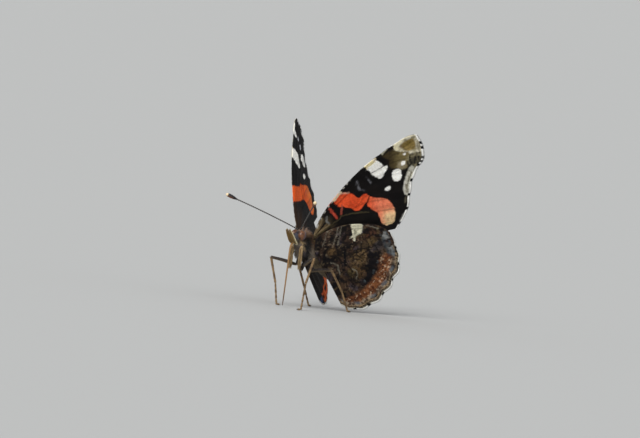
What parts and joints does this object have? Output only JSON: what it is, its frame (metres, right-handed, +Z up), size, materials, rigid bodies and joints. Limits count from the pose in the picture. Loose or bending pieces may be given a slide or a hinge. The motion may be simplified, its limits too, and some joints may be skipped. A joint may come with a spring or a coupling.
{
  "type": "red admiral butterfly model",
  "caption": "Life-size still model of a red admiral butterfly, standing with half-opened wings, feelers spread and drinking tube lowered.",
  "frame": {"origin": "on the ground, under the middle of the whole animal's outline", "axes": "+Z up, the head faces -Y and the animal's left side is +X"},
  "size_m": [0.0344, 0.0332, 0.0392],
  "materials": {
    "forewing": "satin scaled membrane, black with orange-red band and white spots",
    "hindwing": "satin scaled membrane, mottled brown and black",
    "body_hair": "dense brown and grey-brown hair",
    "palp": "short bristly hair, brown above and cream below",
    "eye": "faceted brown eye",
    "antenna": "black with fine white rings and a cream tip",
    "leg": "tan, scaled, with fine spines",
    "foreleg": "buff brush of long hair",
    "proboscis": "smooth ringed drinking tube"
  },
  "bodies": {
    "root": {"head": "body_hair", "eye_left": "eye", "eye_right": "eye", "palp_left": "palp", "palp_right": "palp", "proboscis": "proboscis", "antenna_left_shaft": "antenna", "antenna_left_club": "antenna", "antenna_right_shaft": "antenna", "antenna_right_club": "antenna", "thorax_front": "body_hair", "thorax": "body_hair", "abdomen_1": "body_hair", "abdomen_2": "body_hair", "abdomen_3": "body_hair", "abdomen_4": "body_hair", "forewing_left": "forewing", "hindwing_left": "hindwing", "forewing_right": "forewing", "hindwing_right": "hindwing", "foreleg_left_upper": "foreleg", "foreleg_left_lower": "foreleg", "foreleg_right_upper": "foreleg", "foreleg_right_lower": "foreleg", "midleg_left_coxa": "body_hair", "midleg_left_femur": "leg", "midleg_left_tibia": "leg", "midleg_left_tarsus": "leg", "midleg_left_foot": "leg", "midleg_right_coxa": "body_hair", "midleg_right_femur": "leg", "midleg_right_tibia": "leg", "midleg_right_tarsus": "leg", "midleg_right_foot": "leg", "hindleg_left_coxa": "body_hair", "hindleg_left_femur": "leg", "hindleg_left_tibia": "leg", "hindleg_left_tarsus": "leg", "hindleg_left_foot": "leg", "hindleg_right_coxa": "body_hair", "hindleg_right_femur": "leg", "hindleg_right_tibia": "leg", "hindleg_right_tarsus": "leg", "hindleg_right_foot": "leg"}
  },
  "joints": []
}
